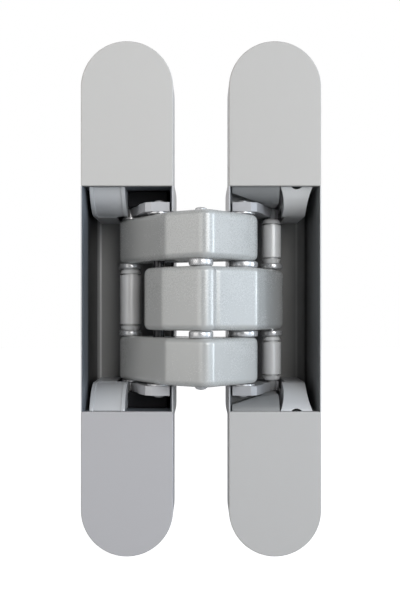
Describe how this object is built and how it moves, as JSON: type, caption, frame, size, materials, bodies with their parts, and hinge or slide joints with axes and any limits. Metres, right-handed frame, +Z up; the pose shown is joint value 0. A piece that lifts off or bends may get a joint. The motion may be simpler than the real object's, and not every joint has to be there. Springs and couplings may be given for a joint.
{
  "type": "concealed door hinge",
  "caption": "Concealed door hinge with two long round-ended mortised bodies, crossed cast arms and plain cover plates, shown wide open.",
  "frame": {"origin": "middle between the frame body's fixing screws, where its long ends seat in the recess", "axes": "+X from the frame body to the door body, +Y into the wood, +Z up along the bodies"},
  "size_m": [0.0625, 0.0425, 0.134],
  "materials": {
    "frame_body": "satin dark grey",
    "door_body": "satin dark grey",
    "covers": "flat satin light grey",
    "arms": "satin metallic grey",
    "guides": "satin metallic grey",
    "dark_steel": "black",
    "plates": "brushed bright steel",
    "sleeves": "turned steel",
    "pins": "polished"
  },
  "bodies": {
    "frame": {"frame_body": "frame_body", "frame_cover_upper": "covers", "frame_cover_lower": "covers", "frame_guide_upper": "guides", "frame_guide_lower": "guides", "frame_carrier_upper": "dark_steel", "frame_carrier_lower": "dark_steel", "frame_plate_upper": "plates", "frame_plate_lower": "plates", "frame_pivot_pin": "pins", "frame_shims": "pins", "frame_adjusting_screws": "dark_steel"},
    "middle": {"middle_arm": "arms", "middle_tail_pin": "pins", "middle_tail_sleeve_upper": "sleeves", "middle_tail_sleeve_lower": "sleeves", "middle_tail_washers": "pins"},
    "outer": {"outer_arm_upper": "arms", "outer_arm_lower": "arms", "centre_pin": "pins", "centre_rings": "pins", "outer_tail_pin": "pins", "outer_tail_sleeve": "sleeves", "outer_tail_washers": "pins"},
    "door": {"door_body": "door_body", "door_cover_upper": "covers", "door_cover_lower": "covers", "door_guide_upper": "guides", "door_guide_lower": "guides", "door_carrier_upper": "guides", "door_carrier_lower": "guides", "door_plate_upper": "plates", "door_plate_lower": "plates", "door_pivot_pin": "pins", "door_pivot_rings": "pins", "door_shims": "pins", "door_adjusting_screws": "dark_steel"}
  },
  "joints": [
    {"name": "arm_pivot", "type": "hinge", "parent": "frame", "child": "middle", "pos_m": [0.00815, -0.009, 0], "axis": [0, 0, -1], "range_deg": [0, 113.67]},
    {"name": "centre_pivot", "type": "hinge", "parent": "middle", "child": "outer", "pos_m": [0.01925, -0.02, 0], "axis": [0, 0, 1], "range_deg": [0, 47.34]},
    {"name": "door_pivot", "type": "hinge", "parent": "outer", "child": "door", "pos_m": [0.03035, -0.009, 0], "axis": [0, 0, -1], "range_deg": [0, 113.67]}
  ],
  "couplings": [
    {"joint": "centre_pivot", "follows": "arm_pivot", "ratio": 0.41647},
    {"joint": "door_pivot", "follows": "arm_pivot", "ratio": 1}
  ]
}
